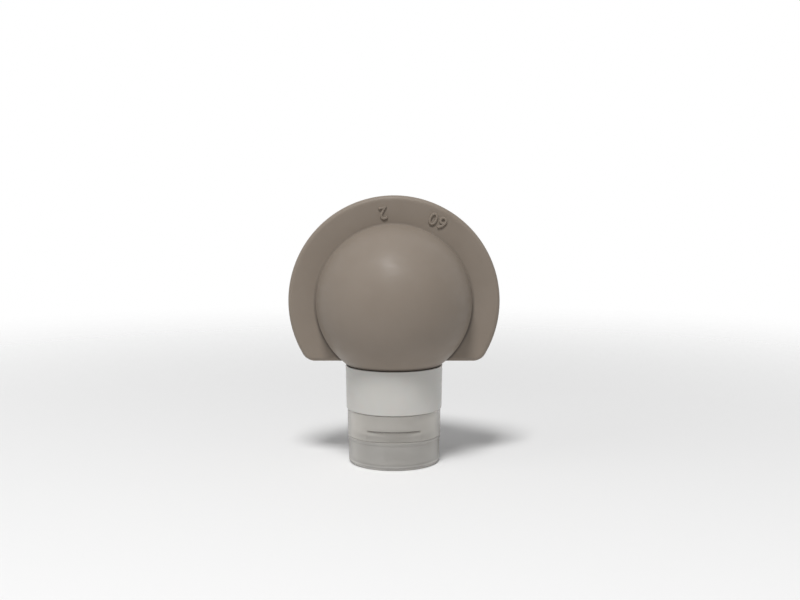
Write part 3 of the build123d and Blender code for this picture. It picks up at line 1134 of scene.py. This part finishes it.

# %% [markdown]
# ## The living hinge
#
# Cap and lid are moulded in one piece, joined by a strap thin enough to fold. It has a
# fold line on its inner face. Only the free film between the two pads bends. A strap
# that rode on one of them alone would tear away from the other, so here it is made in
# the closed pose and set on neither body.

# %% Points of the hinge strap
STRAP_WIDTH, STRAP_LENGTH, STRAP_THICK, STRAP_CORNER = 9.0, 3.3, 0.3, 0.5
FOLD_DEPTH, FOLD_HALF, COLUMNS = 0.12, 0.3, 28
STRAP_INNER = PAD_FACE_Y + 0.05
half_long = STRAP_LENGTH / 2
spans = [(-half_long, -1.1, 9), (-1.1, -0.5, 4), (-0.5, 0.5, 31)]
spans += [(0.5, 1.1, 4), (1.1, half_long, 9)]
levels = sorted(set(np.round(np.concatenate([np.linspace(*span) for span in spans]), 5)))
front, rear = [], []
for level in levels:
    past = max(0.0, abs(level) - (half_long - STRAP_CORNER))
    rounding = math.sqrt(max(0.0, STRAP_CORNER**2 - past**2))
    half_wide = STRAP_WIDTH / 2 - STRAP_CORNER + rounding
    fold = FOLD_DEPTH * max(0.0, 1 - abs(level) / FOLD_HALF)
    for c in range(COLUMNS + 1):
        across = half_wide * (2 * c / COLUMNS - 1)
        front.append((across, STRAP_INNER + fold, HINGE_Z + level))
        rear.append((across, STRAP_INNER + STRAP_THICK, HINGE_Z + level))
print("strap:", len(levels), "levels of", COLUMNS + 1, "points")

# %% Faces of the hinge strap
width = COLUMNS + 1
behind = len(front)
faces = []
for i in range(len(levels) - 1):
    for c in range(COLUMNS):
        a = i * width + c
        faces.append((a, a + 1, a + width + 1, a + width))
        faces.append(tuple(v + behind for v in (a, a + width, a + width + 1, a + 1)))
border = list(range(width))
border += [i * width + COLUMNS for i in range(1, len(levels))]
border += [(len(levels) - 1) * width + c for c in range(COLUMNS - 1, -1, -1)]
border += [i * width for i in range(len(levels) - 2, 0, -1)]
for a, b in zip(border, border[1:] + border[:1]):
    faces.append((a, b, b + behind, a + behind))
strap = new_piece("hinge_film", front + rear, faces, clear, None)
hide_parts("hinge_strap")
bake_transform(strap)
print("strap:", len(strap.data.polygons), "faces")

# %% [markdown]
# ## Floor, light and camera
#
# The bottle stands on a plain pale floor that keeps its shadow and fades away to the
# white background. One soft lamp above and in front gives the small highlight on the
# ball, a wide one at the left lights the brim's edge, and the rest is even room light.
# More lamps would fill the shades that show how round the ball is.

# %% Floor that fades to the background
FLOOR_RADIUS, FADE_FROM, FADE_TO = 0.9, 0.05, 0.5
bpy.ops.mesh.primitive_circle_add(vertices=96, radius=FLOOR_RADIUS, fill_type="NGON")
floor = bpy.context.object
floor.name = "floor"
floor_paint, tree, shader = finish(
    "floor_paint", Base_Color=(0.95, 0.95, 0.95, 1), Roughness=0.8
)
x, y, _ = axes(tree)
fade = remap(tree, distance(tree, x, y), FADE_FROM, FADE_TO)
gone = add(tree, "ShaderNodeBsdfTransparent")
mixed = add(tree, "ShaderNodeMixShader")
for socket, source in zip(mixed.inputs, (fade, shader.outputs[0], gone.outputs[0])):
    put(tree, socket, source)
feed(tree, tree.nodes["Material Output"], Surface=mixed.outputs[0])
floor.data.materials.append(floor_paint)
print("floor reaches", FLOOR_RADIUS, "m")

# %% Room light, with a white background behind it
ROOM_LIGHT, WHITE = 0.27, 1.0
world = bpy.data.worlds.new("room")
bpy.context.scene.world = world
world.use_nodes = True
tree = world.node_tree
path = add(tree, "ShaderNodeLightPath").outputs
seen = compute(tree, "MAXIMUM", path["Is Camera Ray"], path["Is Glossy Ray"])
seen = compute(tree, "MAXIMUM", seen, path["Is Transmission Ray"])
level = remap(tree, seen, 0.0, 1.0, ROOM_LIGHT, WHITE)
feed(tree, tree.nodes["Background"], Color=(1, 1, 1, 1), Strength=level)
print("room light:", ROOM_LIGHT, "behind the bottle:", WHITE)

# %% Two soft lamps
def lamp(name, place, size, power):
    """A soft square lamp that faces the ball."""
    light = bpy.data.lights.new(name, "AREA")
    light.size, light.energy = size, power
    holder = bpy.data.objects.new(name, light)
    holder.location = place
    aim = Vector((0, 0, BALL_Z * MM)) - Vector(place)
    holder.rotation_euler = aim.to_track_quat("-Z", "Y").to_euler()
    bpy.context.scene.collection.objects.link(holder)
    print(name, "is", round(aim.length, 2), "m from the ball")


lamp("overhead_lamp", (-0.10, -0.50, 0.90), size=0.25, power=7.2)
lamp("left_lamp", (-0.80, -0.35, 0.55), size=0.6, power=0.6)

# %% Camera
LEAN, CAMERA_DISTANCE, LOOK_RIGHT, LOOK_UP = math.radians(6), 0.35, 2.0, 0.67
bpy.context.scene.view_settings.view_transform = "Standard"
camera_data = bpy.data.cameras.new("camera")
camera_data.sensor_width = 36.0
camera_data.lens = 47.25
camera_data.clip_start, camera_data.clip_end = 0.01, 10
camera = bpy.data.objects.new("camera", camera_data)
bpy.context.scene.collection.objects.link(camera)
bpy.context.scene.camera = camera
image_up = Vector((0, math.sin(LEAN), math.cos(LEAN)))
forward = Vector((0, math.cos(LEAN), -math.sin(LEAN)))
target = Vector((LOOK_RIGHT, 0, BALL_Z)) * MM + image_up * LOOK_UP * MM
camera.location = target - forward * CAMERA_DISTANCE
camera.rotation_euler = forward.to_track_quat("-Z", "Y").to_euler()
print("camera at", [round(v, 4) for v in camera.location])

# %% [markdown]
# ## The last update
#
# The view layer is updated once more at the end.

# %% Update the scene
bpy.context.view_layer.update()
